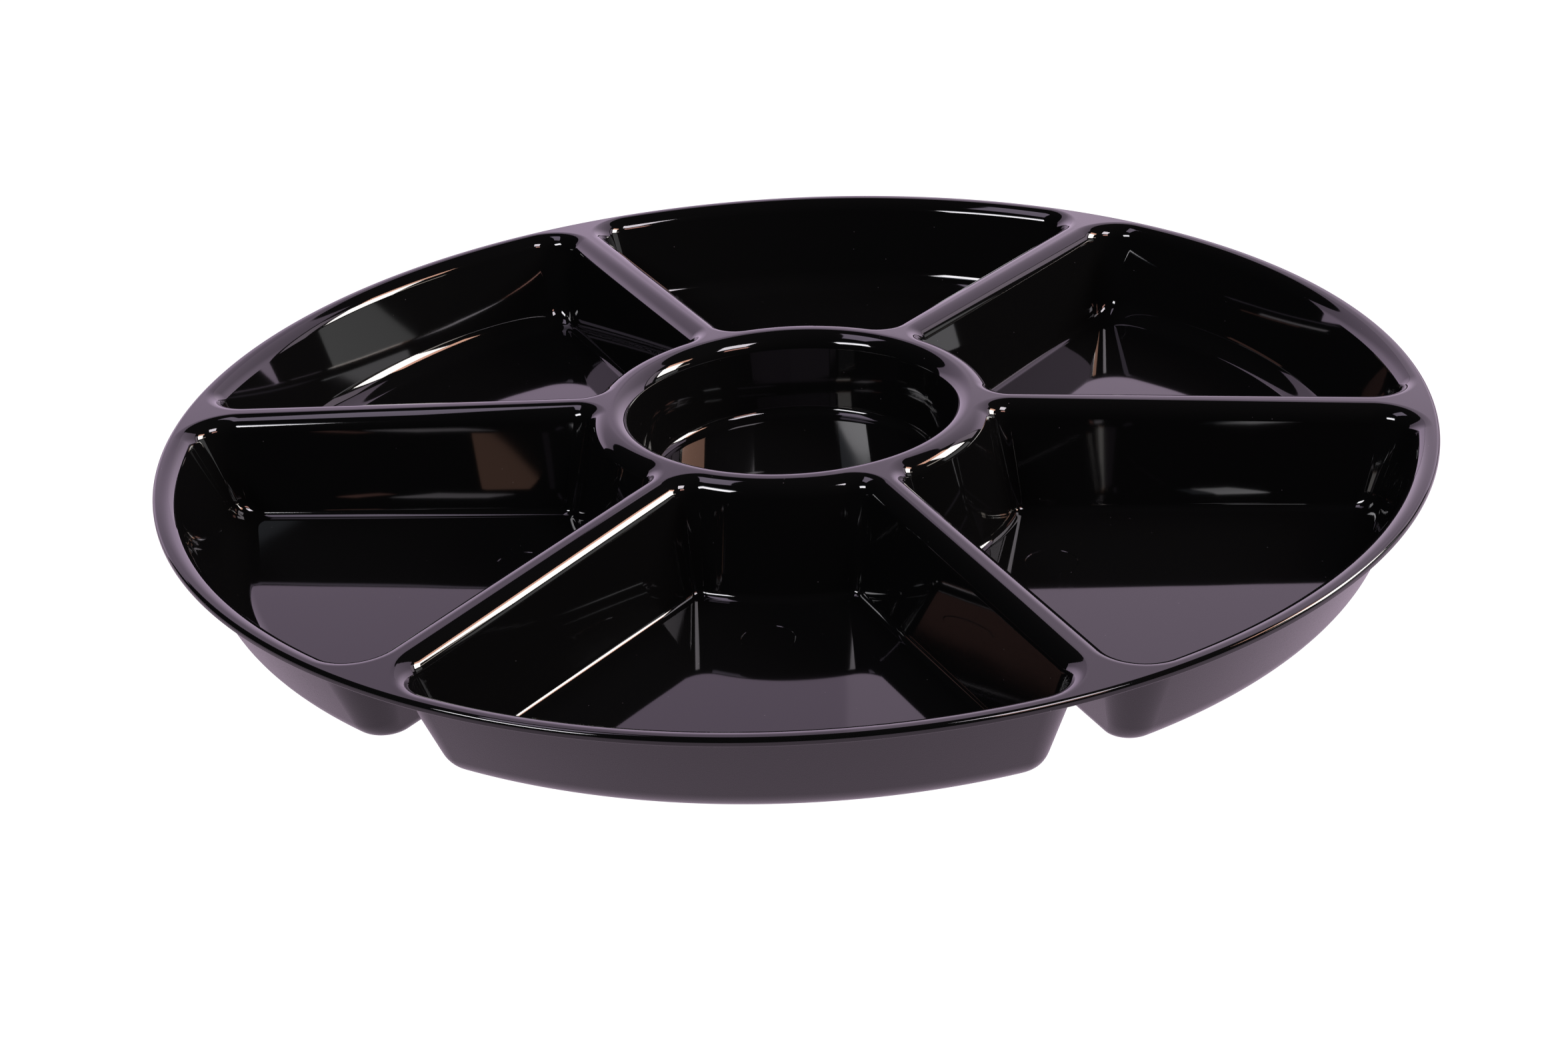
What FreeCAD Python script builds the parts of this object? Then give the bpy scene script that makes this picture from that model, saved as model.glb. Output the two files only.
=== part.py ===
import FreeCAD, Part
import math
import os

# Round serving tray, moulded in one piece: six wedge pans round a centre dip cup.
# Millimetres, +Z up, origin on the table under the centre, pan_front towards -Y.
# The moulding is written out as its regions, which meet face to face.

# ---- driving dimensions ----
TRAY_RADIUS = 152.4          # a 12 inch tray
RIM_HEIGHT = 25.4            # top of the rim's outer edge above the table
HUB_RISE = 2.6               # how much higher the hub's crest is than the rim
CREST_RADIUS = 44.2          # circle round the cup where the top is highest
WALL = 1.75                  # moulded wall thickness
PAN_COUNT = 6

SPLIT_HEIGHT = 21.4          # the caps (rim, dividers, hub) end here and the bowls begin
TOP_EDGE_RADIUS = 4.7        # rounding from the top surface down into pans and cup
RIM_EDGE_RADIUS = 1.0        # upper outer edge of the rim
RIM_LIP_RADIUS = 0.4         # lower outer edge of the rim
RIM_SPLIT_RADIUS = 138.0     # where dividers run into the rim
HUB_SPLIT_RADIUS = 54.0      # where dividers run into the hub ring

# A pan's inside, at rim height, with the slope of each wall from vertical.
PAN_OUTER_RADIUS = 147.7
PAN_OUTER_DRAFT = 22.3
PAN_HUB_RADIUS = 48.7
PAN_HUB_DRAFT = 14.4
PAN_SIDE_OFFSET = 4.5        # from the divider's centre line to the wall
PAN_SIDE_DRAFT = 12.6
PAN_OUTER_BOTTOM_RADIUS = 7.7
PAN_HUB_BOTTOM_RADIUS = 2.2
PAN_SIDE_BOTTOM_RADIUS = 2.0
OUTER_CORNER_RADIUS = (9.2, 3.4)   # in plan, at rim height and at the floor
HUB_CORNER_RADIUS = (5.0, 2.6)

# The cup's inside.
CUP_RADIUS = 39.7            # at the crest's height
CUP_DRAFT = 9.3
CUP_FLOOR_HEIGHT = 7.4       # top of its floor above the table
CUP_BOTTOM_RADIUS = 2.6

# Round witness mark of an ejector pin, in each pan's floor near the hub.
EJECTOR_MARK_RADIUS = 6.2
EJECTOR_MARK_DEPTH = 0.12
EJECTOR_MARK_DISTANCE = 72.0

# ---- derived ----
CREST_HEIGHT = RIM_HEIGHT + HUB_RISE
PAN_PITCH = 360.0 / PAN_COUNT
UNDER_EDGE_RADIUS = TOP_EDGE_RADIUS - WALL
TOOL_TOP = CREST_HEIGHT + 2.0      # tools reach past the top surface
TOOL_MARGIN = 1.0                  # and past the split plane
BOTTOM_STEPS = 8                   # loft sections round the bottom edge
TOLERANCE = 0.02

PAN_NAMES = ["back_right", "back", "back_left", "front_left", "front", "front_right"]
DIVIDER_NAMES = ["right", "back_right", "back_left", "left", "front_left", "front_right"]


def vector(x, y, z=0.0):
    return FreeCAD.Vector(x, y, z)


def crown_height(radius):
    """Height of the tray's top surface, a low cone outside the crest."""
    slope = HUB_RISE / (TRAY_RADIUS - CREST_RADIUS)
    return CREST_HEIGHT - slope * max(radius - CREST_RADIUS, 0.0)


def inset(height, bottom, draft, radius):
    """How far a wall has moved into its pan at a height, from where it is at rim height."""
    slope = math.tan(math.radians(draft))
    tangent_height = bottom + radius * (1.0 - math.sin(math.radians(draft)))
    if height >= tangent_height:
        return (RIM_HEIGHT - height) * slope
    centre_height = bottom + radius
    centre = (RIM_HEIGHT - centre_height) * slope + radius / math.cos(math.radians(draft))
    drop = centre_height - height
    return centre - math.sqrt(max(radius * radius - drop * drop, 0.0))


def pan_outline(height, thickness):
    """A pan's four wall places at a height: outer radius, hub radius, side offset, corners.

    thickness 0 is the inside face and WALL is the outside face.
    """
    bottom = WALL - thickness

    def place(draft, radius):
        out = thickness / math.cos(math.radians(draft))
        return inset(height, bottom, draft, radius + thickness) - out

    share = (RIM_HEIGHT - height) / (RIM_HEIGHT - bottom)
    outer_corner, hub_corner = [
        at_rim + (at_floor - at_rim) * share + thickness
        for at_rim, at_floor in (OUTER_CORNER_RADIUS, HUB_CORNER_RADIUS)
    ]
    outer = PAN_OUTER_RADIUS - place(PAN_OUTER_DRAFT, PAN_OUTER_BOTTOM_RADIUS)
    hub = PAN_HUB_RADIUS + place(PAN_HUB_DRAFT, PAN_HUB_BOTTOM_RADIUS)
    side = PAN_SIDE_OFFSET + place(PAN_SIDE_DRAFT, PAN_SIDE_BOTTOM_RADIUS)
    return outer, hub, side, outer_corner, hub_corner


def corner_points(arc_radius, side, corner, outside):
    """Start, middle and end of a corner arc in the divider's own axes (u along, v across).

    The arc is tangent to the wall at v = side and to the circle of arc_radius.
    """
    reach = arc_radius - corner if outside else arc_radius + corner
    across = side + corner
    along = math.sqrt(reach * reach - across * across)
    on_wall = (along, side)
    scale = arc_radius / reach
    on_arc = (along * scale, across * scale)
    start = math.atan2(on_wall[1] - across, on_wall[0] - along)
    end = math.atan2(on_arc[1] - across, on_arc[0] - along)
    turn = (end - start + math.pi) % (2.0 * math.pi) - math.pi
    middle_angle = start + turn / 2.0
    middle = (along + corner * math.cos(middle_angle), across + corner * math.sin(middle_angle))
    return on_wall, middle, on_arc


def pan_wire(height, thickness):
    """Closed outline of a pan at a height: its middle lies along +X."""
    outer, hub, side, outer_corner, hub_corner = pan_outline(height, thickness)
    half_pitch = math.radians(PAN_PITCH / 2.0)

    def placed(point, sign):
        """From the axes of the divider on one side of the pan to the tray's axes."""
        u, v = point
        angle = -sign * half_pitch
        x = u * math.cos(angle) + v * sign * -math.sin(angle)
        y = u * math.sin(angle) + v * sign * math.cos(angle)
        return vector(x, y, height)

    outer_points = corner_points(outer, side, outer_corner, True)
    hub_points = corner_points(hub, side, hub_corner, False)
    low_outer = [placed(point, 1.0) for point in outer_points]
    high_outer = [placed(point, -1.0) for point in reversed(outer_points)]
    high_hub = [placed(point, -1.0) for point in hub_points]
    low_hub = [placed(point, 1.0) for point in reversed(hub_points)]

    edges = [
        Part.LineSegment(low_hub[2], low_outer[0]),
        Part.Arc(*low_outer),
        Part.Arc(low_outer[2], vector(outer, 0.0, height), high_outer[0]),
        Part.Arc(*high_outer),
        Part.LineSegment(high_outer[2], high_hub[0]),
        Part.Arc(*high_hub),
        Part.Arc(high_hub[2], vector(hub, 0.0, height), low_hub[0]),
        Part.Arc(*low_hub),
    ]
    return Part.Wire([edge.toShape() for edge in edges])


def straight_pan(low, high, thickness):
    """A pan's solid between two heights where its walls are straight."""
    return Part.makeLoft([pan_wire(low, thickness), pan_wire(high, thickness)], True, True)


def bowl(thickness, top):
    """The pan's solid below a height, to its inside or outside face, with a rounded bottom."""
    bottom = WALL - thickness
    radius = PAN_OUTER_BOTTOM_RADIUS + thickness
    whole_turn = math.radians(90.0 - PAN_OUTER_DRAFT)
    heights = [
        bottom + radius * (1.0 - math.cos(whole_turn * (1.0 - step / BOTTOM_STEPS)))
        for step in range(BOTTOM_STEPS + 1)
    ]
    rounded = Part.makeLoft([pan_wire(height, thickness) for height in heights], True, False)
    return rounded.fuse(straight_pan(heights[0], top, thickness))


def upper_pan(thickness):
    """The pan's straight-walled solid through the caps."""
    return straight_pan(SPLIT_HEIGHT - TOOL_MARGIN, TOOL_TOP, thickness)


def turned(shape, angle):
    """A copy of a shape turned about the tray's axis."""
    copy = shape.copy()
    copy.rotate(vector(0, 0), vector(0, 0, 1), angle)
    return copy


def revolved(points):
    """A solid of revolution about Z from straight (radius, height) points."""
    corners = [vector(radius, 0.0, height) for radius, height in points]
    face = Part.Face(Part.makePolygon(corners + corners[:1]))
    return face.revolve(vector(0, 0), vector(0, 0, 1), 360)


def crown_disc(radius, bottom, lowered):
    """A disc whose top follows the tray's top surface, or lies a little below it."""
    return revolved([
        (0.0, bottom),
        (radius, bottom),
        (radius, crown_height(radius) - lowered),
        (CREST_RADIUS, CREST_HEIGHT - lowered),
        (0.0, CREST_HEIGHT - lowered),
    ])


def cup_radius(height, thickness):
    """Radius of the cup's inside (thickness 0) or outside wall at a height."""
    draft = math.radians(CUP_DRAFT)
    return CUP_RADIUS - (CREST_HEIGHT - height) * math.tan(draft) + thickness / math.cos(draft)


def cup_cone(bottom, top, thickness):
    """The straight cone of the cup's inside or outside face."""
    return revolved([
        (0.0, bottom),
        (cup_radius(bottom, thickness), bottom),
        (cup_radius(top, thickness), top),
        (0.0, top),
    ])


def top_edges(shape, lowered, largest_radius):
    """Edges that lie in the top surface, inside a radius, where pans and cup open."""

    def on_top(point):
        radius = math.hypot(point.x, point.y)
        if radius > largest_radius:
            return False
        return abs(point.z - (crown_height(radius) - lowered)) < TOLERANCE

    found = []
    for edge in shape.Edges:
        first, last = edge.ParameterRange
        points = [edge.valueAt(first + (last - first) * share) for share in (0.1, 0.5, 0.9)]
        crest = all(abs(math.hypot(p.x, p.y) - CREST_RADIUS) < TOLERANCE for p in points)
        if all(on_top(point) for point in points) and not crest:
            found.append(edge)
    return found


def rim_circle_edges(shape, height):
    """The rim's outer circle at a height."""
    return [
        edge for edge in shape.Edges
        if all(
            abs(math.hypot(vertex.X, vertex.Y) - TRAY_RADIUS) < TOLERANCE
            and abs(vertex.Z - height) < TOLERANCE
            for vertex in edge.Vertexes
        )
        and abs(edge.Length - 2.0 * math.pi * TRAY_RADIUS) < 1.0
    ]


def pan_angles():
    """Direction of each pan's middle, in the order of PAN_NAMES."""
    return [PAN_PITCH * (index + 0.5) for index in range(PAN_COUNT)]


def make_cap():
    """Everything above the split plane: rim, dividers and hub ring as one shell."""
    block = crown_disc(TRAY_RADIUS, SPLIT_HEIGHT, 0.0)
    block = block.makeFillet(RIM_EDGE_RADIUS, rim_circle_edges(block, RIM_HEIGHT))
    opening = upper_pan(0.0)
    block = block.cut([turned(opening, angle) for angle in pan_angles()])
    block = block.cut(cup_cone(SPLIT_HEIGHT - TOOL_MARGIN, TOOL_TOP, 0.0))
    inside_rim = TRAY_RADIUS - RIM_EDGE_RADIUS - TOLERANCE
    block = block.makeFillet(TOP_EDGE_RADIUS, top_edges(block, 0.0, inside_rim))

    under = crown_disc(TRAY_RADIUS + 2.0 * WALL, SPLIT_HEIGHT - TOOL_MARGIN, WALL)
    outside = upper_pan(WALL)
    under = under.cut([turned(outside, angle) for angle in pan_angles()])
    under = under.cut(cup_cone(SPLIT_HEIGHT - 2.0 * TOOL_MARGIN, TOOL_TOP, WALL))
    under = under.makeFillet(UNDER_EDGE_RADIUS, top_edges(under, WALL, TRAY_RADIUS))

    cap = block.cut(under)
    lip = rim_circle_edges(cap, RIM_HEIGHT - WALL)
    return cap.makeFillet(RIM_LIP_RADIUS, lip)


def make_pan():
    """One pan below the split plane, its middle along +X."""
    pan = bowl(WALL, SPLIT_HEIGHT).cut(bowl(0.0, SPLIT_HEIGHT + TOOL_MARGIN))
    mark = Part.makeCylinder(
        EJECTOR_MARK_RADIUS,
        WALL,
        vector(EJECTOR_MARK_DISTANCE, 0.0, WALL - EJECTOR_MARK_DEPTH),
    )
    return pan.cut(mark)


def make_cup():
    """The cup below the split plane."""
    floor = CUP_FLOOR_HEIGHT
    under = floor - WALL
    outside = cup_cone(under, SPLIT_HEIGHT, WALL)
    inside = cup_cone(floor, SPLIT_HEIGHT, 0.0)

    def round_bottom(cone, bottom, radius):
        edges = [
            edge for edge in cone.Edges
            if all(abs(vertex.Z - bottom) < TOLERANCE for vertex in edge.Vertexes)
            and edge.Length > CUP_RADIUS * math.pi
        ]
        return cone.makeFillet(radius, edges)

    outside = round_bottom(outside, under, CUP_BOTTOM_RADIUS + WALL)
    inside = round_bottom(inside, floor, CUP_BOTTOM_RADIUS)
    return outside.cut(inside)


def cylinder(radius):
    """A cylinder through the caps, for dividing them."""
    return Part.makeCylinder(radius, TOOL_TOP, vector(0.0, 0.0, TOOL_MARGIN))


def write(name, shape, solids=1):
    """Check that a node is closed and write it."""
    found = shape.Solids
    if len(found) != solids or not shape.isValid():
        raise RuntimeError(f"{name}: {len(found)} solids, valid {shape.isValid()}")
    solid = found[0]
    solid.exportStep(f"parts/{name}.step")
    print(f"{name}: {solid.Volume / 1000.0:.2f} cm3")


def main():
    os.makedirs("parts", exist_ok=True)
    cap = make_cap()
    write("rim_flange", cap.cut(cylinder(RIM_SPLIT_RADIUS)))
    write("hub_ring", cap.common(cylinder(HUB_SPLIT_RADIUS)))

    bars = cap.common(cylinder(RIM_SPLIT_RADIUS)).cut(cylinder(HUB_SPLIT_RADIUS)).Solids
    for index, name in enumerate(DIVIDER_NAMES):
        angle = math.radians(PAN_PITCH * index)
        direction = vector(math.cos(angle), math.sin(angle))
        bar = max(bars, key=lambda solid: solid.CenterOfMass.dot(direction))
        write(f"divider_{name}", bar)

    pan = make_pan()
    for name, angle in zip(PAN_NAMES, pan_angles()):
        write(f"pan_{name}", turned(pan, angle))

    write("centre_cup", make_cup())


main()
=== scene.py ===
import math

import bpy
import numpy as np
from mathutils import Matrix, Vector


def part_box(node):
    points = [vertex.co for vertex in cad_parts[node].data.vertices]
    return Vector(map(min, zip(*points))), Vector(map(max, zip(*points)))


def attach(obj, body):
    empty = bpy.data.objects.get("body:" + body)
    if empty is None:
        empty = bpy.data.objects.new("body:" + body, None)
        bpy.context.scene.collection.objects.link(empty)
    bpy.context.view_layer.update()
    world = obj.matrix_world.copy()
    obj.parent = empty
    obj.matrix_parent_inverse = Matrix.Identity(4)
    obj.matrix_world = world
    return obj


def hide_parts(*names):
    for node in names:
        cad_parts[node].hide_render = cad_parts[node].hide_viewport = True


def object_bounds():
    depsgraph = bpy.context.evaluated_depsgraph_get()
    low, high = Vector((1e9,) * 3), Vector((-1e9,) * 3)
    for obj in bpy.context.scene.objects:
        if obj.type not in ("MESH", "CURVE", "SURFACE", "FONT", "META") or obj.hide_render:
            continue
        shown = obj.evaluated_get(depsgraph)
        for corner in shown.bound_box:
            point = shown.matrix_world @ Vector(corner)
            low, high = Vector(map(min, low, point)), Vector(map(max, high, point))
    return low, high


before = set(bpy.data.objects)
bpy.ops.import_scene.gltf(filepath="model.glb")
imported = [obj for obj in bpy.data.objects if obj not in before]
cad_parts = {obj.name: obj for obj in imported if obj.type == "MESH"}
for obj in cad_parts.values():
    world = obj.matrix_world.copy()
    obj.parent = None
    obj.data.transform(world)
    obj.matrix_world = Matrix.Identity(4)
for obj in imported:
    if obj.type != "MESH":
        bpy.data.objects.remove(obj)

# Looks of a round serving tray, moulded in one piece of gloss black plastic: six wedge pans
# round a centre dip cup. Metres, +Z up, origin on the table under the centre, pan_front
# towards -Y. Each region of the moulding is a surface worked out from the same dimensions
# as its CAD node, with exact normals, because a mirror gloss shows every facet.

cad_low, cad_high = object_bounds()

# ---- driving dimensions ----
TRAY_RADIUS = min(-cad_low.x, -cad_low.y, cad_high.x, cad_high.y)
CREST_HEIGHT = cad_high.z
HUB_RISE = 0.0026            # the crest above the rim
RIM_HEIGHT = CREST_HEIGHT - HUB_RISE
CREST_RADIUS = 0.0442
WALL = 0.00175
PAN_COUNT = 6

SPLIT_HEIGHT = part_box("pan_front")[1].z      # bowls end here and the caps begin
TOP_EDGE_RADIUS = 0.0047
RIM_EDGE_RADIUS = 0.0010
RIM_LIP_RADIUS = 0.0004

# A pan's inside, at rim height, with the slope of each wall from vertical.
PAN_OUTER_RADIUS = TRAY_RADIUS - 0.0047
PAN_OUTER_DRAFT = math.radians(22.3)
PAN_HUB_RADIUS = 0.0487
PAN_HUB_DRAFT = math.radians(14.4)
PAN_SIDE_OFFSET = 0.0045
PAN_SIDE_DRAFT = math.radians(12.6)
PAN_OUTER_BOTTOM_RADIUS = 0.0077
PAN_HUB_BOTTOM_RADIUS = 0.0022
PAN_SIDE_BOTTOM_RADIUS = 0.0020
OUTER_CORNER_RADIUS = (0.0092, 0.0034)       # in plan, at rim height and at the floor
HUB_CORNER_RADIUS = (0.0050, 0.0026)

# The cup's inside.
CUP_RADIUS = 0.0397
CUP_DRAFT = math.radians(9.3)
CUP_FLOOR_HEIGHT = 0.0074
CUP_BOTTOM_RADIUS = 0.0026

# Ejector pin marks in the pans' floors.
EJECTOR_MARK_RADIUS = 0.0062
EJECTOR_MARK_DEPTH = 0.00012
EJECTOR_MARK_EDGE = 0.00025
EJECTOR_MARK_DISTANCE = 0.0720

# ---- derived ----
PAN_PITCH = 2.0 * math.pi / PAN_COUNT
HALF_PITCH = PAN_PITCH / 2.0
CROWN_SLOPE = HUB_RISE / (TRAY_RADIUS - CREST_RADIUS)
CREST_BLEND = 0.0006         # the crest's crease is this soft, each way

PAN_NAMES = ["back_right", "back", "back_left", "front_left", "front", "front_right"]
DIVIDER_NAMES = ["right", "back_right", "back_left", "left", "front_left", "front_right"]

# ---- how finely the surfaces are divided ----
OUTER_ARC_STEPS = 26
OUTER_CORNER_STEPS = 16      # even, because half of them face the rim and half the divider
SIDE_STEPS = 24
HUB_CORNER_STEPS = 12        # even, as above
HUB_ARC_STEPS = 12
BOTTOM_STEPS = 14
WALL_STEPS = 4
EDGE_STEPS = 12
CROWN_STEPS = 4
FLOOR_STEPS = 3
MARK_STEPS = 6
CUP_FLOOR_RINGS = (0.0, 0.5)         # in parts of the flat floor's radius
LIP_STEPS = 6
HEIGHT_STEP = 1e-7           # for slopes by finite difference
HEIGHT_TOLERANCE = 1e-9      # for the height where a wall meets its rounding
WELD = 1e-6                  # points nearer than this are one
WELD_SHIFT = 0.381           # keeps round numbers off the borders between welding cells

STEP_COUNTS = [OUTER_ARC_STEPS, OUTER_CORNER_STEPS, SIDE_STEPS, HUB_CORNER_STEPS, HUB_ARC_STEPS]
STEP_ENDS = np.cumsum([0] + STEP_COUNTS)
COLUMNS = int(STEP_ENDS[-1]) + 1
OUTER_ARC, OUTER_CORNER, SIDE, HUB_CORNER, HUB_ARC = [
    slice(int(start), int(end) + 1) for start, end in zip(STEP_ENDS[:-1], STEP_ENDS[1:])
]
RIM_COLUMNS = slice(OUTER_ARC.start, OUTER_CORNER.stop)
HUB_COLUMNS = slice(HUB_CORNER.start, HUB_ARC.stop)


def along(values):
    """0 to 1 over the columns or rows of a stretch."""
    return np.linspace(0.0, 1.0, values.stop - values.start)


# ---- shape of the moulding ----

def crown_height(radius):
    """Height of the top surface, a low cone outside the crest."""
    return CREST_HEIGHT - CROWN_SLOPE * np.maximum(radius - CREST_RADIUS, 0.0)


def unit(vectors):
    """The vectors, each scaled to length 1."""
    return vectors / np.linalg.norm(vectors, axis=-1, keepdims=True)


def crown_normal(x, y):
    """Upward normal of the top surface, softened over the crest."""
    radius = np.hypot(x, y)
    share = (radius - CREST_RADIUS + CREST_BLEND) / (2.0 * CREST_BLEND)
    slope = CROWN_SLOPE * np.clip(share, 0.0, 1.0)
    return unit(np.stack([slope * x / radius, slope * y / radius, np.ones_like(radius)], -1))


def inset(height, bottom, draft, radius):
    """How far a wall has moved into its pan at a height, from where it is at rim height."""
    tangent_height = bottom + radius * (1.0 - math.sin(draft))
    centre_height = bottom + radius
    straight = (RIM_HEIGHT - height) * math.tan(draft)
    centre = (RIM_HEIGHT - centre_height) * math.tan(draft) + radius / math.cos(draft)
    drop = centre_height - height
    rounded = centre - np.sqrt(np.maximum(radius * radius - drop * drop, 0.0))
    return np.where(height >= tangent_height, straight, rounded)


def half_outline(height, thickness):
    """Half of a pan's outline, from its middle at the rim round to its middle at the hub.

    height has a row for each outline and a column for each point. u runs along the divider
    and v across it. Returns the points and the level normals into the pan. thickness 0 is
    the inside face and WALL is the outside face.
    """
    bottom = WALL - thickness

    def place(draft, radius):
        return inset(height, bottom, draft, radius + thickness) - thickness / math.cos(draft)

    share = (RIM_HEIGHT - height) / (RIM_HEIGHT - bottom)
    outer_corner, hub_corner = [
        at_rim + (at_floor - at_rim) * share + thickness
        for at_rim, at_floor in (OUTER_CORNER_RADIUS, HUB_CORNER_RADIUS)
    ]
    outer = PAN_OUTER_RADIUS - place(PAN_OUTER_DRAFT, PAN_OUTER_BOTTOM_RADIUS)
    hub = PAN_HUB_RADIUS + place(PAN_HUB_DRAFT, PAN_HUB_BOTTOM_RADIUS)
    side = PAN_SIDE_OFFSET + place(PAN_SIDE_DRAFT, PAN_SIDE_BOTTOM_RADIUS)

    outer_reach = outer - outer_corner
    outer_across = side + outer_corner
    outer_along = np.sqrt(outer_reach ** 2 - outer_across ** 2)
    outer_turn = np.arctan2(outer_across, outer_along)
    hub_reach = hub + hub_corner
    hub_across = side + hub_corner
    hub_along = np.sqrt(hub_reach ** 2 - hub_across ** 2)
    hub_turn = np.arctan2(hub_across, hub_along)

    points = np.zeros(height.shape + (2,))
    inward = np.zeros(height.shape + (2,))

    def arc(columns, centre_u, centre_v, radius, start, end, facing):
        """facing -1 has normals towards the arc's centre, and +1 away from it."""
        angle = start + (end - start) * along(columns)
        direction = np.stack([np.cos(angle), np.sin(angle)], -1)
        centre = np.stack([centre_u, centre_v], -1)
        points[:, columns] = centre + radius[..., None] * direction
        inward[:, columns] = facing * direction

    def at(values, columns):
        return values[:, columns]

    zero = np.zeros_like(height)
    arc(OUTER_ARC, at(zero, OUTER_ARC), at(zero, OUTER_ARC), at(outer, OUTER_ARC),
        HALF_PITCH, at(outer_turn, OUTER_ARC), -1.0)
    arc(OUTER_CORNER, at(outer_along, OUTER_CORNER), at(outer_across, OUTER_CORNER),
        at(outer_corner, OUTER_CORNER), at(outer_turn, OUTER_CORNER), -math.pi / 2.0, -1.0)
    arc(HUB_ARC, at(zero, HUB_ARC), at(zero, HUB_ARC), at(hub, HUB_ARC),
        at(hub_turn, HUB_ARC), HALF_PITCH, 1.0)
    arc(HUB_CORNER, at(hub_along, HUB_CORNER), at(hub_across, HUB_CORNER),
        at(hub_corner, HUB_CORNER), -math.pi / 2.0, at(hub_turn, HUB_CORNER) - math.pi, -1.0)

    run = along(SIDE)
    points[:, SIDE, 0] = at(outer_along, SIDE) * (1.0 - run) + at(hub_along, SIDE) * run
    points[:, SIDE, 1] = at(side, SIDE)
    inward[:, SIDE] = (0.0, 1.0)
    return points, inward


def wall_surface(height, thickness):
    """Points and normals of half a pan's wall at the heights, normals into the pan."""
    points, inward = half_outline(height, thickness)
    above = half_outline(height + HEIGHT_STEP, thickness)[0]
    below = half_outline(height - HEIGHT_STEP, thickness)[0]
    lean = ((above - below) * inward).sum(-1) / (2.0 * HEIGHT_STEP)
    normals = unit(np.concatenate([inward, -lean[..., None]], -1))
    return np.concatenate([points, height[..., None]], -1), normals


def turned_between(first, last, share):
    """Unit vectors part of the way from first to last, along the arc between them."""
    angle = np.arccos(np.clip((first * last).sum(-1, keepdims=True), -1.0, 1.0))
    return (np.sin((1.0 - share) * angle) * first + np.sin(share * angle) * last) / np.sin(angle)


def top_edge(thickness):
    """The rounding from the wall into the top surface: centres of its ball and wall heights."""
    radius = TOP_EDGE_RADIUS - thickness
    stretch = math.hypot(1.0, CROWN_SLOPE)
    low = np.full((1, COLUMNS), SPLIT_HEIGHT)
    high = np.full((1, COLUMNS), CREST_HEIGHT)
    while np.max(high - low) > HEIGHT_TOLERANCE:
        middle = (low + high) / 2.0
        points, normals = wall_surface(middle, thickness)
        centre = points - radius * normals
        surface = crown_height(np.hypot(centre[..., 0], centre[..., 1]))
        too_high = centre[..., 2] > surface - thickness - radius * stretch
        high = np.where(too_high, middle, high)
        low = np.where(too_high, low, middle)
    return centre, middle


def crown_targets(edge, thickness):
    """Where each column of the top surface ends: the rim, the divider's centre line, the cup."""
    target = np.zeros((COLUMNS, 2))
    rim_radius, cup_radius = crown_limits(thickness)

    def on_circle(columns, radius, start, end):
        angle = start + (end - start) * along(columns)
        target[columns, 0] = radius * np.cos(angle)
        target[columns, 1] = radius * np.sin(angle)

    middle_outer = OUTER_CORNER.start + OUTER_CORNER_STEPS // 2
    middle_hub = HUB_CORNER.start + HUB_CORNER_STEPS // 2
    on_circle(slice(0, middle_outer + 1), rim_radius, HALF_PITCH, 0.0)
    on_circle(slice(middle_hub, COLUMNS), cup_radius, 0.0, HALF_PITCH)
    outer_run = slice(middle_outer, OUTER_CORNER.stop)
    hub_run = slice(HUB_CORNER.start, middle_hub + 1)
    outer_end = edge[SIDE.start, 0]
    hub_end = edge[SIDE.stop - 1, 0]
    target[outer_run, 0] = rim_radius + (outer_end - rim_radius) * along(outer_run)
    target[SIDE, 0] = edge[SIDE, 0]
    target[hub_run, 0] = hub_end + (cup_radius - hub_end) * along(hub_run)
    for columns in (outer_run, SIDE, hub_run):
        target[columns, 1] = 0.0
    return target


def crown_limits(thickness):
    """Radii where the flat of the top surface ends, at the rim and at the cup."""
    lift = CROWN_SLOPE / math.hypot(1.0, CROWN_SLOPE)
    rim = TRAY_RADIUS - RIM_LIP_RADIUS * (1.0 + lift)
    if thickness == 0.0:
        rim = TRAY_RADIUS - RIM_EDGE_RADIUS * (1.0 - lift)
    return rim, cup_ball_radius(thickness)


def half_cap(thickness):
    """Half a pan's share of the caps: wall, rounding and top surface, from the split up."""
    centre, tangent = top_edge(thickness)
    radius = TOP_EDGE_RADIUS - thickness
    share = np.linspace(0.0, 1.0, WALL_STEPS + 1)[:, None]
    height = SPLIT_HEIGHT + (tangent - SPLIT_HEIGHT) * share
    wall_points, wall_normals = wall_surface(height, thickness)

    crown = crown_normal(centre[..., 0], centre[..., 1])
    share = np.linspace(0.0, 1.0, EDGE_STEPS + 1)[1:, None, None]
    edge_normals = turned_between(wall_normals[-1:], crown, share)
    edge_points = centre + radius * edge_normals

    edge = edge_points[-1]
    target = crown_targets(edge, thickness)
    share = np.linspace(0.0, 1.0, CROWN_STEPS + 1)[1:, None, None]
    level = edge[None, :, :2] * (1.0 - share) + target[None] * share
    height = crown_height(np.hypot(level[..., 0], level[..., 1])) - thickness
    crown_points = np.concatenate([level, height[..., None]], -1)
    crown_normals = crown_normal(level[..., 0], level[..., 1])
    return (
        np.concatenate([wall_points, edge_points, crown_points]),
        np.concatenate([wall_normals, edge_normals, crown_normals]),
    )


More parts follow.
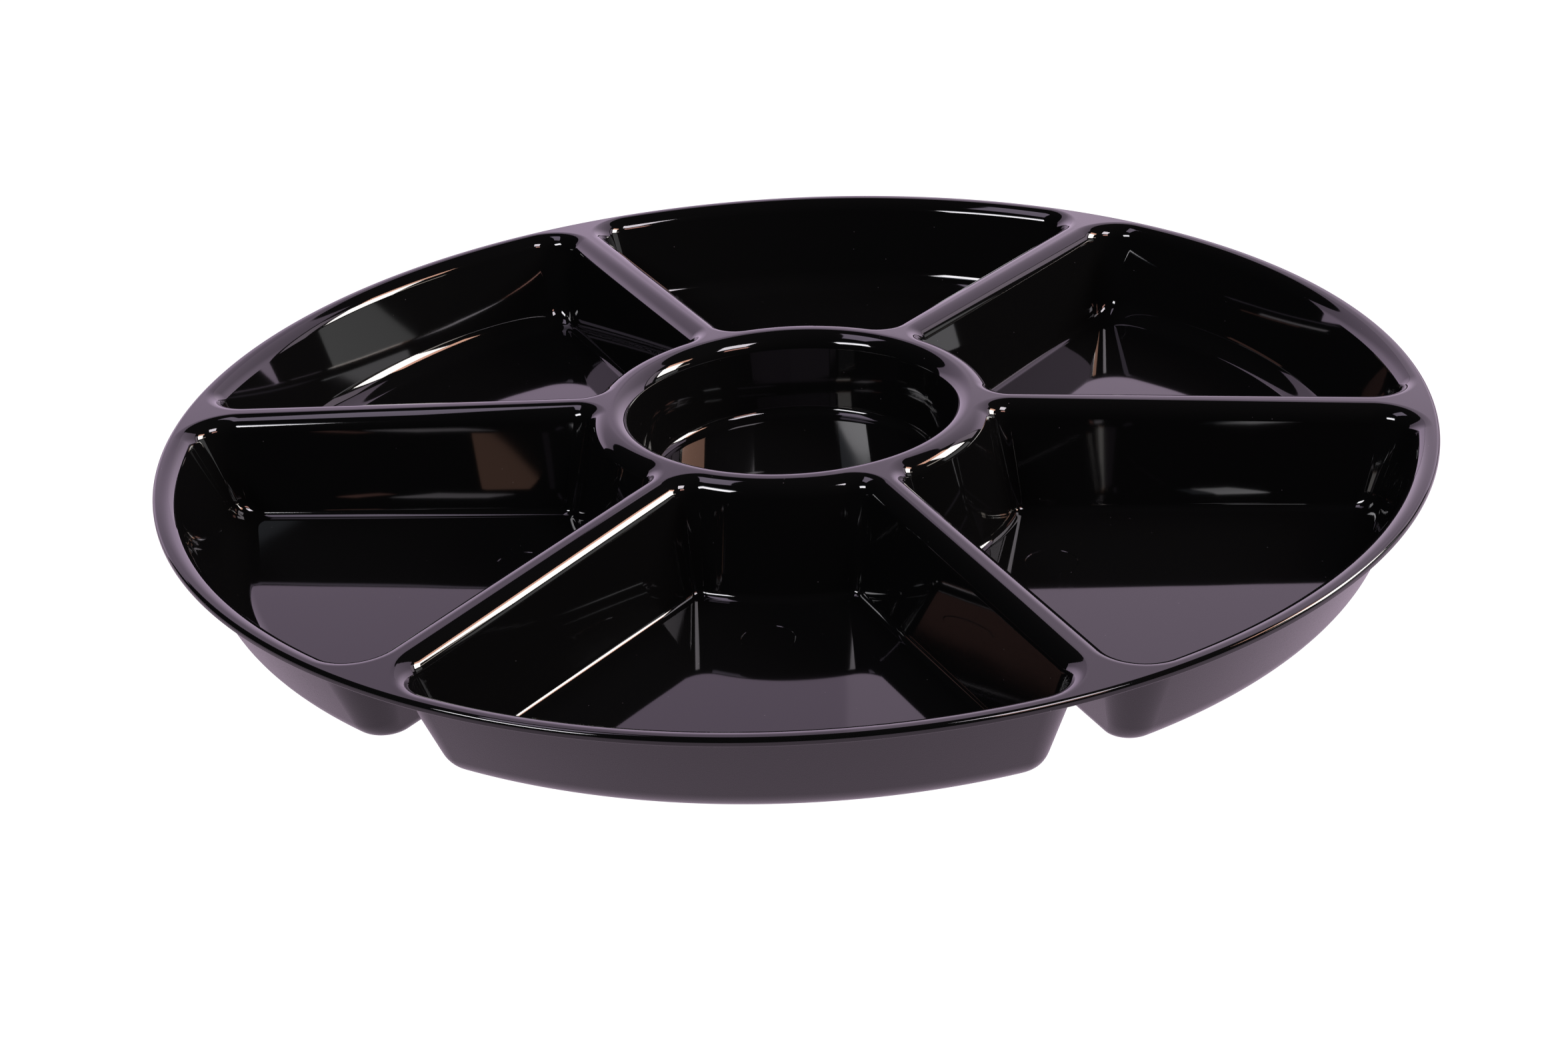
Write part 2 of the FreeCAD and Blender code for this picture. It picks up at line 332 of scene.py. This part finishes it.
def half_bowl(thickness):
    """Half a pan below the split: its wall from the flat of the floor up."""
    bottom = WALL - thickness
    heights = {SPLIT_HEIGHT}
    for radius, draft in (
        (PAN_OUTER_BOTTOM_RADIUS, PAN_OUTER_DRAFT),
        (PAN_HUB_BOTTOM_RADIUS, PAN_HUB_DRAFT),
    ):
        turn = np.linspace(0.0, math.pi / 2.0 - draft, BOTTOM_STEPS + 1)[1:]
        heights.update(bottom + (radius + thickness) * (1.0 - np.cos(turn)))
    top = max(heights - {SPLIT_HEIGHT})
    heights.update(np.linspace(top, SPLIT_HEIGHT, WALL_STEPS + 1)[1:-1])
    height = np.array(sorted(heights))[:, None] + np.zeros((1, COLUMNS))
    points, normals = wall_surface(height, thickness)
    floor_points, _ = half_outline(np.full((1, COLUMNS), bottom), thickness)
    level = np.full((1, COLUMNS, 1), bottom)
    upright = np.zeros((1, COLUMNS, 3)) + (0.0, 0.0, 1.0)
    points = np.concatenate([np.concatenate([floor_points, level], -1), points])
    return points, np.concatenate([upright, normals])


def half_floor(edge, mark):
    """The floor from the walls in, with the ejector pin's shallow recess in the top side."""
    centre = EJECTOR_MARK_DISTANCE * np.array([math.cos(HALF_PITCH), math.sin(HALF_PITCH)])
    direction = unit(edge[:, :2] - centre)
    height = edge[0, 2]
    share = np.linspace(0.0, 1.0, FLOOR_STEPS + 1)[:, None, None]
    circle = centre + EJECTOR_MARK_RADIUS * direction
    level = edge[None, :, :2] * (1.0 - share) + circle[None] * share
    points = [np.concatenate([level, np.full(level.shape[:2] + (1,), height)], -1)]
    normals = [np.zeros_like(points[0]) + (0.0, 0.0, 1.0)]
    inner = EJECTOR_MARK_RADIUS
    if mark:
        share = np.linspace(0.0, 1.0, MARK_STEPS + 1)[1:]
        fall = (1.0 - np.cos(math.pi * share)) / 2.0
        lean = EJECTOR_MARK_DEPTH / EJECTOR_MARK_EDGE * math.pi / 2.0 * np.sin(math.pi * share)
        for at, down, slope in zip(share, fall, lean):
            ring = centre + (inner - EJECTOR_MARK_EDGE * at) * direction
            low = np.full((COLUMNS, 1), height - EJECTOR_MARK_DEPTH * down)
            points.append(np.concatenate([ring, low], -1)[None])
            tilt = np.concatenate([-slope * direction, np.ones((COLUMNS, 1))], -1)
            normals.append(unit(tilt)[None])
        inner -= EJECTOR_MARK_EDGE
        height -= EJECTOR_MARK_DEPTH
    hole = np.concatenate([centre, [height]])
    points.append(np.zeros((1, COLUMNS, 3)) + hole)
    normals.append(np.zeros((1, COLUMNS, 3)) + (0.0, 0.0, 1.0))
    return np.concatenate(points), np.concatenate(normals)


def cup_wall_radius(height, thickness):
    """Radius of the cup's wall, above its bottom rounding."""
    drop = CREST_HEIGHT - height
    return CUP_RADIUS - drop * math.tan(CUP_DRAFT) + thickness / math.cos(CUP_DRAFT)


def cup_ball_radius(thickness):
    """Radius, from the axis, of the ball that rounds the cup's top edge."""
    radius = TOP_EDGE_RADIUS - thickness
    height = CREST_HEIGHT - thickness - radius * (1.0 - math.sin(CUP_DRAFT))
    return cup_wall_radius(height, thickness) + radius * math.cos(CUP_DRAFT)


def arc_profile(centre, radius, start, end, steps, facing):
    """(radius, height, normal) rows of an arc; facing -1 has normals towards its centre."""
    turn = np.linspace(start, end, steps + 1)
    direction = np.stack([np.cos(turn), np.sin(turn)], -1)
    return np.concatenate([np.array(centre) + radius * direction, facing * direction], -1)


def cup_top_profile(thickness):
    """The cup's wall from the split up, and its rounding into the top surface."""
    radius = TOP_EDGE_RADIUS - thickness
    centre = (cup_ball_radius(thickness), CREST_HEIGHT - thickness - radius)
    edge = arc_profile(
        centre, radius, math.pi - CUP_DRAFT, math.pi / 2.0, EDGE_STEPS, 1.0
    )
    wall = cup_wall_rows(SPLIT_HEIGHT, edge[0, 1], thickness)
    return np.concatenate([wall[:-1], edge])


def cup_wall_rows(low, high, thickness):
    """Profile rows of the cup's straight wall between two heights."""
    height = np.linspace(low, high, WALL_STEPS + 1)
    rows = np.zeros((WALL_STEPS + 1, 4))
    rows[:, 0] = cup_wall_radius(height, thickness)
    rows[:, 1] = height
    rows[:, 2] = -math.cos(CUP_DRAFT)
    rows[:, 3] = math.sin(CUP_DRAFT)
    return rows


def cup_bowl_profile(thickness):
    """The cup from the centre of its floor up to the split."""
    floor = CUP_FLOOR_HEIGHT - thickness
    radius = CUP_BOTTOM_RADIUS + thickness
    tangent = floor + radius * (1.0 - math.sin(CUP_DRAFT))
    centre_radius = cup_wall_radius(tangent, thickness) - radius * math.cos(CUP_DRAFT)
    bend = arc_profile(
        (centre_radius, floor + radius), radius, -math.pi / 2.0, -CUP_DRAFT, BOTTOM_STEPS, -1.0
    )
    middle = np.array([[share * centre_radius, floor, 0.0, 1.0] for share in CUP_FLOOR_RINGS])
    wall = cup_wall_rows(tangent, SPLIT_HEIGHT, thickness)
    return np.concatenate([middle, bend, wall[1:]])


def rim_profile():
    """The rim's edge, from the top surface round to the underside."""
    tilt = math.atan(CROWN_SLOPE)
    stretch = math.hypot(1.0, CROWN_SLOPE)
    top_centre = TRAY_RADIUS - RIM_EDGE_RADIUS
    low_centre = TRAY_RADIUS - RIM_LIP_RADIUS
    top = arc_profile(
        (top_centre, crown_height(top_centre) - RIM_EDGE_RADIUS * stretch),
        RIM_EDGE_RADIUS, math.pi / 2.0 - tilt, 0.0, LIP_STEPS, 1.0,
    )
    low = arc_profile(
        (low_centre, crown_height(low_centre) - WALL + RIM_LIP_RADIUS * stretch),
        RIM_LIP_RADIUS, 0.0, -math.pi / 2.0 - tilt, LIP_STEPS, 1.0,
    )
    return np.concatenate([top, low])


# ---- meshes ----

def placed(vectors, index, mirrored):
    """From the axes of a divider to the tray's axes, on one side of it or the other."""
    angle = PAN_PITCH * index
    u = vectors[..., 0]
    v = -vectors[..., 1] if mirrored else vectors[..., 1]
    x = u * math.cos(angle) - v * math.sin(angle)
    y = u * math.sin(angle) + v * math.cos(angle)
    return np.stack([x, y, vectors[..., 2]], -1)


class Skin:
    """Collects a piece's patches of quads, with a normal at each corner of each quad."""

    def __init__(self):
        self.corners = []
        self.normals = []

    def patch(self, points, normals):
        """A grid of points, rows by columns, with its normals."""
        def quads(grid):
            return np.stack([grid[:-1, :-1], grid[1:, :-1], grid[1:, 1:], grid[:-1, 1:]], 2)
        self.corners.append(quads(points).reshape(-1, 4, 3))
        self.normals.append(quads(normals).reshape(-1, 4, 3))

    def strip(self, first, second, outward):
        """A flat strip between two rows of points, where one region meets the next."""
        grid = np.stack([first, second])
        self.patch(grid, np.zeros_like(grid) + outward)

    def build(self, name):
        """One object of all the patches, with the points they share welded."""
        corners = np.concatenate(self.corners)
        normals = np.concatenate(self.normals)
        keys = np.round(corners.reshape(-1, 3) / WELD + WELD_SHIFT).astype(np.int64)
        _, first, index = np.unique(keys, axis=0, return_index=True, return_inverse=True)
        vertices = corners.reshape(-1, 3)[first]
        index = index.reshape(-1, 4)
        facing = np.cross(corners[:, 2] - corners[:, 0], corners[:, 3] - corners[:, 1])
        backwards = (facing * normals.mean(1)).sum(-1) < 0.0
        index[backwards] = index[backwards][:, ::-1]
        normals[backwards] = normals[backwards][:, ::-1]
        faces = []
        loop_normals = []
        for quad, quad_normals in zip(index.tolist(), normals.tolist()):
            kept = [at for at in range(4) if quad[at] != quad[at - 1]]
            if len(set(quad)) < 3 or len(kept) < 3:
                continue
            faces.append([quad[at] for at in kept])
            loop_normals.extend(quad_normals[at] for at in kept)
        mesh = bpy.data.meshes.new(name)
        mesh.from_pydata(vertices.tolist(), [], faces)
        mesh.shade_smooth()
        mesh.normals_split_custom_set(loop_normals)
        piece = bpy.data.objects.new(name, mesh)
        bpy.context.scene.collection.objects.link(piece)
        return piece


def revolve(skin, rows, angles, outward):
    """A patch turned about the axis from (radius, height, normal radius, normal height) rows."""
    cosine, sine = np.cos(angles)[None, :], np.sin(angles)[None, :]

    def turn(radial, upright):
        return np.stack([
            radial[:, None] * cosine, radial[:, None] * sine, upright[:, None] + 0.0 * sine
        ], -1)
    skin.patch(turn(rows[:, 0], rows[:, 1]), outward * turn(rows[:, 2], rows[:, 3]))


INSIDE_CAP = half_cap(0.0)
OUTSIDE_CAP = half_cap(WALL)
INSIDE_BOWL = half_bowl(0.0)
OUTSIDE_BOWL = half_bowl(WALL)


def half_angles(columns, start, end):
    """Angles of the columns from one border of half a pan to the other."""
    return start + (end - start) * np.linspace(0.0, 1.0, columns)


def split_circle(radius, angles):
    """Points about the axis at the height where the caps meet the bowls."""
    height = np.full_like(angles, SPLIT_HEIGHT)
    return np.stack([radius * np.cos(angles), radius * np.sin(angles), height], -1)


RIM_ANGLE_COLUMNS = OUTER_ARC_STEPS + OUTER_CORNER_STEPS // 2 + 1
CUP_ANGLE_COLUMNS = HUB_ARC_STEPS + HUB_CORNER_STEPS // 2 + 1


def cap_part(skin, columns, index, mirrored):
    """Some columns of the caps' two faces, and the seam where they meet the bowl."""
    sides = []
    for (points, normals), outward in ((INSIDE_CAP, 1.0), (OUTSIDE_CAP, -1.0)):
        here = placed(points[:, columns], index, mirrored)
        skin.patch(here, outward * placed(normals[:, columns], index, mirrored))
        sides.append(here)
    skin.strip(sides[0][0], sides[1][0], (0.0, 0.0, -1.0))
    return sides


def seam(skin, sides, column, index, way):
    """The cut through the wall at a column, facing out along a divider or back."""
    angle = PAN_PITCH * index
    outward = (way * math.cos(angle), way * math.sin(angle), 0.0)
    skin.strip(sides[0][:, column], sides[1][:, column], outward)


def every_half():
    """Both sides of each divider."""
    return [(index, mirrored) for index in range(PAN_COUNT) for mirrored in (False, True)]


def make_rim():
    skin = Skin()
    for index, mirrored in every_half():
        sides = cap_part(skin, RIM_COLUMNS, index, mirrored)
        seam(skin, sides, -1, index, -1.0)
        sign = -1.0 if mirrored else 1.0
        angles = PAN_PITCH * index + sign * half_angles(RIM_ANGLE_COLUMNS, HALF_PITCH, 0.0)
        revolve(skin, rim_profile(), angles, 1.0)
    return skin.build("tray_rim")


def make_hub():
    skin = Skin()
    for index, mirrored in every_half():
        sides = cap_part(skin, HUB_COLUMNS, index, mirrored)
        seam(skin, sides, 0, index, 1.0)
        sign = -1.0 if mirrored else 1.0
        angles = PAN_PITCH * index + sign * half_angles(CUP_ANGLE_COLUMNS, 0.0, HALF_PITCH)
        rows = [cup_top_profile(0.0), cup_top_profile(WALL)]
        revolve(skin, rows[0], angles, 1.0)
        revolve(skin, rows[1], angles, -1.0)
        circles = [split_circle(row[0, 0], angles) for row in rows]
        skin.strip(circles[0], circles[1], (0.0, 0.0, -1.0))
    return skin.build("tray_hub_ring")


def make_divider(index):
    skin = Skin()
    for mirrored in (False, True):
        sides = cap_part(skin, SIDE, index, mirrored)
        seam(skin, sides, 0, index, 1.0)
        seam(skin, sides, -1, index, -1.0)
    return skin.build(f"tray_divider_{DIVIDER_NAMES[index]}")


def make_pan(index):
    skin = Skin()
    for divider, mirrored in ((index, False), (index + 1, True)):
        edges = []
        for (points, normals), outward, mark in (
            (INSIDE_BOWL, 1.0, True), (OUTSIDE_BOWL, -1.0, False)
        ):
            here = placed(points, divider, mirrored)
            skin.patch(here, outward * placed(normals, divider, mirrored))
            floor_points, floor_normals = half_floor(points[0], mark)
            skin.patch(
                placed(floor_points, divider, mirrored),
                outward * placed(floor_normals, divider, mirrored),
            )
            edges.append(here[-1])
        skin.strip(edges[0], edges[1], (0.0, 0.0, 1.0))
    return skin.build(f"tray_pan_{PAN_NAMES[index]}")


def make_cup():
    skin = Skin()
    for index, mirrored in every_half():
        sign = -1.0 if mirrored else 1.0
        angles = PAN_PITCH * index + sign * half_angles(CUP_ANGLE_COLUMNS, 0.0, HALF_PITCH)
        circles = []
        for thickness, outward in ((0.0, 1.0), (WALL, -1.0)):
            rows = cup_bowl_profile(thickness)
            revolve(skin, rows, angles, outward)
            circles.append(split_circle(rows[-1, 0], angles))
        skin.strip(circles[0], circles[1], (0.0, 0.0, 1.0))
    return skin.build("tray_centre_cup")


pieces = [(make_rim(), "rim_flange"), (make_hub(), "hub_ring"), (make_cup(), "centre_cup")]
pieces += [
    (make_divider(index), f"divider_{name}") for index, name in enumerate(DIVIDER_NAMES)
]
pieces += [(make_pan(index), f"pan_{name}") for index, name in enumerate(PAN_NAMES)]


# ---- material ----

GLOSS_ROUGHNESS = 0.038
GLOSS_VARIATION = 0.03       # added where the polish is worn or touched
SATIN_ROUGHNESS = 0.2        # the outside, which the mould leaves unpolished
SATIN_VARIATION = 0.12
SURFACE_IOR = 1.55
PLASTIC_COLOUR = (0.0032, 0.0033, 0.0034, 1.0)
POLISH_START, POLISH_FULL = -0.12, 0.02      # upward part of the normal where polish sets in
TOUCH_SCALE = 22.0           # patches of handling, per metre
TOUCH_DETAIL = 3.0
TOUCH_START, TOUCH_FULL = 0.5, 0.75          # of the noise
TOUCH_WEAR = 0.35            # wear of a touched patch without a scratch
SCRATCH_SCALE = 900.0
SCRATCH_DETAIL = 2.0
SCRATCH_START, SCRATCH_FULL = 0.68, 0.8      # of the noise
SCRATCH_SQUEEZE = (1.0, 0.04, 1.0)
GRAIN_SCALE = 2600.0         # the unpolished grain
GRAIN_DETAIL = 2.0
GRAIN_HEIGHT = 0.000012
WAVE_SCALE = 35.0            # slow unevenness of a moulded wall
WAVE_DETAIL = 1.0
WAVE_HEIGHT = 0.00003
DUST_COLOUR = (0.06, 0.055, 0.06, 1.0)
DUST_SCALE = 420.0           # cells that can each hold a speck
DUST_SIZE = 0.055            # of a cell
DUST_SHARE = 0.1             # how many cells hold one


def linked(tree, kind, values, links):
    """A shader node with its constant inputs set and its other inputs linked."""
    node = tree.nodes.new(kind)
    for name, value in values.items():
        node.inputs[name].default_value = value
    for name, source in links.items():
        tree.links.new(source, node.inputs[name])
    return node


def calculated(tree, operation, *values):
    """The output of a maths node; each value is a number or another node's output."""
    node = tree.nodes.new("ShaderNodeMath")
    node.operation = operation
    node.use_clamp = True
    for socket, value in zip(node.inputs, values):
        if isinstance(value, (int, float)):
            socket.default_value = value
        else:
            tree.links.new(value, socket)
    return node.outputs[0]


def noise(tree, place, scale, detail):
    """The output of a noise texture, from 0 to 1 about 0.5."""
    values = {"Scale": scale, "Detail": detail}
    return linked(tree, "ShaderNodeTexNoise", values, {"Vector": place}).outputs["Fac"]


def ramped(tree, value, start, end):
    """0 below start, 1 above end."""
    values = {"From Min": start, "From Max": end}
    return linked(tree, "ShaderNodeMapRange", values, {"Value": value}).outputs["Result"]


def gloss_black():
    """Black plastic: polished on top and in the pans, satin outside and underneath."""
    material = bpy.data.materials.new("gloss_black_plastic")
    material.use_nodes = True
    tree = material.node_tree
    shader = tree.nodes["Principled BSDF"]
    place = tree.nodes.new("ShaderNodeTexCoord").outputs["Object"]
    facing = tree.nodes.new("ShaderNodeNewGeometry").outputs["Normal"]
    upward = linked(tree, "ShaderNodeSeparateXYZ", {}, {"Vector": facing}).outputs["Z"]
    polished = ramped(tree, upward, POLISH_START, POLISH_FULL)
    unpolished = calculated(tree, "SUBTRACT", 1.0, polished)

    patches = noise(tree, place, TOUCH_SCALE, TOUCH_DETAIL)
    touch = ramped(tree, patches, TOUCH_START, TOUCH_FULL)
    squeezed = linked(tree, "ShaderNodeVectorMath", {1: SCRATCH_SQUEEZE}, {0: place})
    squeezed.operation = "MULTIPLY"
    streaks = noise(tree, squeezed.outputs["Vector"], SCRATCH_SCALE, SCRATCH_DETAIL)
    scratches = ramped(tree, streaks, SCRATCH_START, SCRATCH_FULL)
    wear = calculated(tree, "MULTIPLY", touch, calculated(tree, "ADD", scratches, TOUCH_WEAR))
    gloss = calculated(tree, "MULTIPLY_ADD", wear, GLOSS_VARIATION, GLOSS_ROUGHNESS)
    grain = noise(tree, place, GRAIN_SCALE, GRAIN_DETAIL)
    satin = calculated(tree, "MULTIPLY_ADD", grain, SATIN_VARIATION, SATIN_ROUGHNESS)
    roughness = linked(
        tree, "ShaderNodeMix", {}, {"Factor": polished, "A": satin, "B": gloss}
    ).outputs["Result"]

    cells = linked(tree, "ShaderNodeTexVoronoi", {"Scale": DUST_SCALE}, {"Vector": place})
    near = calculated(tree, "LESS_THAN", cells.outputs["Distance"], DUST_SIZE)
    shade = linked(tree, "ShaderNodeSeparateColor", {}, {"Color": cells.outputs["Color"]})
    chosen = calculated(tree, "LESS_THAN", shade.outputs["Red"], DUST_SHARE)
    dust = calculated(tree, "MULTIPLY", near, chosen)
    colour = linked(tree, "ShaderNodeMix", {}, {"Factor": dust})
    colour.data_type = "RGBA"
    colour.inputs["A"].default_value = PLASTIC_COLOUR
    colour.inputs["B"].default_value = DUST_COLOUR

    wave = linked(
        tree, "ShaderNodeBump", {"Distance": WAVE_HEIGHT},
        {"Height": noise(tree, place, WAVE_SCALE, WAVE_DETAIL)},
    )
    texture = linked(
        tree, "ShaderNodeBump", {"Distance": GRAIN_HEIGHT},
        {"Height": grain, "Strength": unpolished, "Normal": wave.outputs["Normal"]},
    )
    shader.inputs["IOR"].default_value = SURFACE_IOR
    tree.links.new(colour.outputs["Result"], shader.inputs["Base Color"])
    tree.links.new(roughness, shader.inputs["Roughness"])
    tree.links.new(texture.outputs["Normal"], shader.inputs["Normal"])
    return material


plastic = gloss_black()
for piece, node in pieces:
    piece.data.materials.append(plastic)
    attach(piece, "root")
    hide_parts(node)


# ---- camera ----
CAMERA_LENS = 57.71          # mm, on a 36 mm wide sensor
SENSOR_WIDTH = 36.0
CLIP_START, CLIP_END = 0.01, 50.0
CAMERA_DISTANCE = 0.60956    # from the middle of the rim's plane
CAMERA_AZIMUTH = math.radians(6.4815)
CAMERA_ELEVATION = math.radians(24.100)
CAMERA_ROLL = math.radians(3.2553)
AIM_BELOW = math.radians(2.628)      # the view's axis passes below the tray's middle
AIM_LEFT = math.radians(0.179)


def add_camera():
    """A camera that looks a little below the middle of the rim's plane, and is rolled."""
    back = Vector((
        math.sin(CAMERA_AZIMUTH) * math.cos(CAMERA_ELEVATION),
        -math.cos(CAMERA_AZIMUTH) * math.cos(CAMERA_ELEVATION),
        math.sin(CAMERA_ELEVATION),
    ))
    data = bpy.data.cameras.new("camera")
    data.lens = CAMERA_LENS
    data.sensor_width = SENSOR_WIDTH
    data.clip_start = CLIP_START
    data.clip_end = CLIP_END
    camera = bpy.data.objects.new("camera", data)
    bpy.context.scene.collection.objects.link(camera)
    right = (-back).cross(Vector((0.0, 0.0, 1.0))).normalized()
    up = right.cross(-back)
    level = Matrix((right, up, back))
    roll = Matrix.Rotation(CAMERA_ROLL, 3, "Z")
    seen = Vector((math.tan(AIM_LEFT), math.tan(AIM_BELOW), -1.0)).normalized()
    tilt = Vector((0.0, 0.0, -1.0)).rotation_difference(seen).to_matrix()
    turn = (tilt @ roll @ level).transposed()
    middle = Vector((0.0, 0.0, RIM_HEIGHT))
    camera.matrix_world = Matrix.Translation(middle + CAMERA_DISTANCE * back) @ turn.to_4x4()
    bpy.context.scene.camera = camera


add_camera()


# ---- studio ----
LIGHT_DISTANCE = 1.15
BACKDROP_DISTANCE = 1.3
GROUND_REACH = 12.0          # each way from the tray
TABLE_HEIGHT = -0.0005
TABLE_STRENGTH = 1.15
# The sheet the plastic mirrors in place of the table: its glow is painted shade and tinted light
# on the table, running from dim at -X to brighter at +X.
MIRRORED_FLOOR_HEIGHT = -0.0010
MIRRORED_FLOOR_SHADING_COLOUR = (0.70, 0.55, 0.70)
MIRRORED_FLOOR_SHADING_PLACES = (-0.3, 0.3)
MIRRORED_FLOOR_SHADING_STRENGTHS = (0.85, 1.35)
PAPER_PLACES = (0.42, 0.74)  # heights between which the backdrops fade
WHITE = (1.0, 1.0, 1.0)
BLACK = (0.0, 0.0, 0.0, 1.0)
ROOM_COLOUR = (0.004, 0.004, 0.004, 1.0)

# Name, azimuth it faces, azimuths of its ends, heights of its lower and upper edge in parts
# of its distance, colour, strength below and above the fade.
BACKDROPS = [
    ("left", 0.0, (-60.0, -5.0), (0.0, 0.83), (0.86, 0.67, 0.91), (1.65, 1.0)),
    ("right", 32.0, (-6.0, 50.0), (0.11, 1.1), (1.1, 0.87, 1.15), (1.5, 1.0)),
]
# Name, azimuths, elevations, brightness, colour.
SOFTBOXES = [
    ("left_softbox", (-148.0, -120.0), (35.5, 44.0), 20.0, (0.98, 0.96, 1.0)),
    ("left_softbox_top", (-146.0, -120.0), (44.0, 47.0), 2.0, (0.82, 0.88, 1.0)),
    ("overhead_left", (-110.0, -40.0), (62.0, 73.0), 2.4, (0.9, 0.76, 1.0)),
    ("right_softbox", (63.0, 84.0), (21.0, 37.5), 22.0, (1.0, 0.95, 0.92)),
    ("right_softbox_end", (84.0, 96.0), (22.0, 24.5), 5.0, (1.0, 0.9, 0.8)),
    ("right_softbox_warm", (64.0, 90.0), (37.5, 43.0), 12.0, (1.0, 0.55, 0.4)),
    ("right_backdrop_edge", (51.0, 60.0), (14.0, 38.0), 1.6, (1.0, 0.82, 1.0)),
    ("right_low_grey", (64.0, 87.0), (7.0, 16.5), 0.75, WHITE),
    ("right_front_softbox", (110.0, 140.0), (46.0, 60.0), 14.0, (1.0, 0.92, 1.0)),
    ("right_front_warm", (122.0, 142.0), (36.0, 41.0), 8.0, (1.0, 0.5, 0.42)),
]


def direction(azimuth, elevation):
    """Unit vector from the tray; azimuth in degrees, 0 along +Y and 90 along +X."""
    turn, rise = math.radians(azimuth), math.radians(elevation)
    return Vector((
        math.sin(turn) * math.cos(rise), math.cos(turn) * math.cos(rise), math.sin(rise)
    ))


def softbox(name, azimuths, elevations, brightness, colour):
    """A rectangle of light that covers a range of directions, as seen from the tray."""
    middle = direction(sum(azimuths) / 2.0, sum(elevations) / 2.0)
    width = 2.0 * LIGHT_DISTANCE * math.tan(math.radians(azimuths[1] - azimuths[0]) / 2.0)
    height = 2.0 * LIGHT_DISTANCE * math.tan(math.radians(elevations[1] - elevations[0]) / 2.0)
    width *= math.cos(math.radians(sum(elevations) / 2.0))
    data = bpy.data.lights.new(name, "AREA")
    data.shape = "RECTANGLE"
    data.size = width
    data.size_y = height
    data.color = colour
    data.energy = brightness * math.pi * width * height
    light = bpy.data.objects.new(name, data)
    bpy.context.scene.collection.objects.link(light)
    light.location = LIGHT_DISTANCE * middle
    light.rotation_mode = "QUATERNION"
    light.rotation_quaternion = middle.to_track_quat("Z", "Y")
    light.visible_camera = False


def emitting(name, colour, strength):
    """A material that only gives light."""
    material = bpy.data.materials.new(name)
    material.use_nodes = True
    shader = material.node_tree.nodes["Principled BSDF"]
    shader.inputs["Base Color"].default_value = BLACK
    shader.inputs["Specular IOR Level"].default_value = 0.0
    shader.inputs["Emission Color"].default_value = colour + (1.0,)
    shader.inputs["Emission Strength"].default_value = strength
    return material


def sheet(name, corners, material):
    """A flat four-cornered piece of the studio."""
    mesh = bpy.data.meshes.new(name)
    mesh.from_pydata(corners, [], [(0, 1, 2, 3)])
    mesh.materials.append(material)
    surface = bpy.data.objects.new(name, mesh)
    bpy.context.scene.collection.objects.link(surface)
    return surface


def upright(name, face, span, heights, material):
    """An upright sheet that faces the tray; face and span are azimuths in degrees.

    heights, of its lower and upper edge, are in parts of its distance.
    """
    along = Vector((math.cos(math.radians(face)), -math.sin(math.radians(face)), 0.0))
    middle = BACKDROP_DISTANCE * direction(face, 0.0)
    ends = [
        middle + along * BACKDROP_DISTANCE * math.tan(math.radians(azimuth - face))
        for azimuth in span
    ]
    foot, top = [Vector((0.0, 0.0, height * BACKDROP_DISTANCE)) for height in heights]
    return sheet(name, [ends[0] + foot, ends[1] + foot, ends[1] + top, ends[0] + top], material)


def ground(name, height, material):
    """A level sheet under the tray, GROUND_REACH each way from its middle."""
    corners = [
        (x * GROUND_REACH, y * GROUND_REACH, height)
        for x, y in ((-1.0, -1.0), (1.0, -1.0), (1.0, 1.0), (-1.0, 1.0))
    ]
    return sheet(name, corners, material)


def graded(name, colour, axis, places, strengths):
    """An emitting material whose strength runs from one place to another along an axis."""
    material = emitting(name, colour, strengths[0])
    tree = material.node_tree
    place = tree.nodes.new("ShaderNodeTexCoord").outputs["Object"]
    along = linked(tree, "ShaderNodeSeparateXYZ", {}, {"Vector": place}).outputs[axis]
    values = {
        "From Min": places[0], "From Max": places[1],
        "To Min": strengths[0], "To Max": strengths[1],
    }
    strength = linked(tree, "ShaderNodeMapRange", values, {"Value": along}).outputs["Result"]
    tree.links.new(strength, tree.nodes["Principled BSDF"].inputs["Emission Strength"])
    return material


# The camera sees an overlit white table, and the plastic mirrors a hidden sheet in its place
# whose dimmer, tinted glow is painted shade and tinted light on the table, brighter towards +X.
table = ground("floor", TABLE_HEIGHT, emitting("table_white", WHITE, TABLE_STRENGTH))
table.visible_glossy = False
mirrored_floor_shading = ground("floor_reflected", MIRRORED_FLOOR_HEIGHT, graded(
    "mirrored_floor_shading", MIRRORED_FLOOR_SHADING_COLOUR, "X", MIRRORED_FLOOR_SHADING_PLACES, MIRRORED_FLOOR_SHADING_STRENGTHS
))
mirrored_floor_shading.visible_camera = False
for name, face, span, heights, colour, strengths in BACKDROPS:
    paper = graded(f"paper_{name}", colour, "Z", PAPER_PLACES, strengths)
    upright(f"backdrop_{name}", face, span, heights, paper)
for name, azimuths, elevations, brightness, colour in SOFTBOXES:
    softbox(name, azimuths, elevations, brightness, colour)

world = bpy.data.worlds.new("studio")
bpy.context.scene.world = world
world.use_nodes = True
world.node_tree.nodes["Background"].inputs["Color"].default_value = ROOM_COLOUR

view = bpy.context.scene.view_settings
view.view_transform = "Standard"
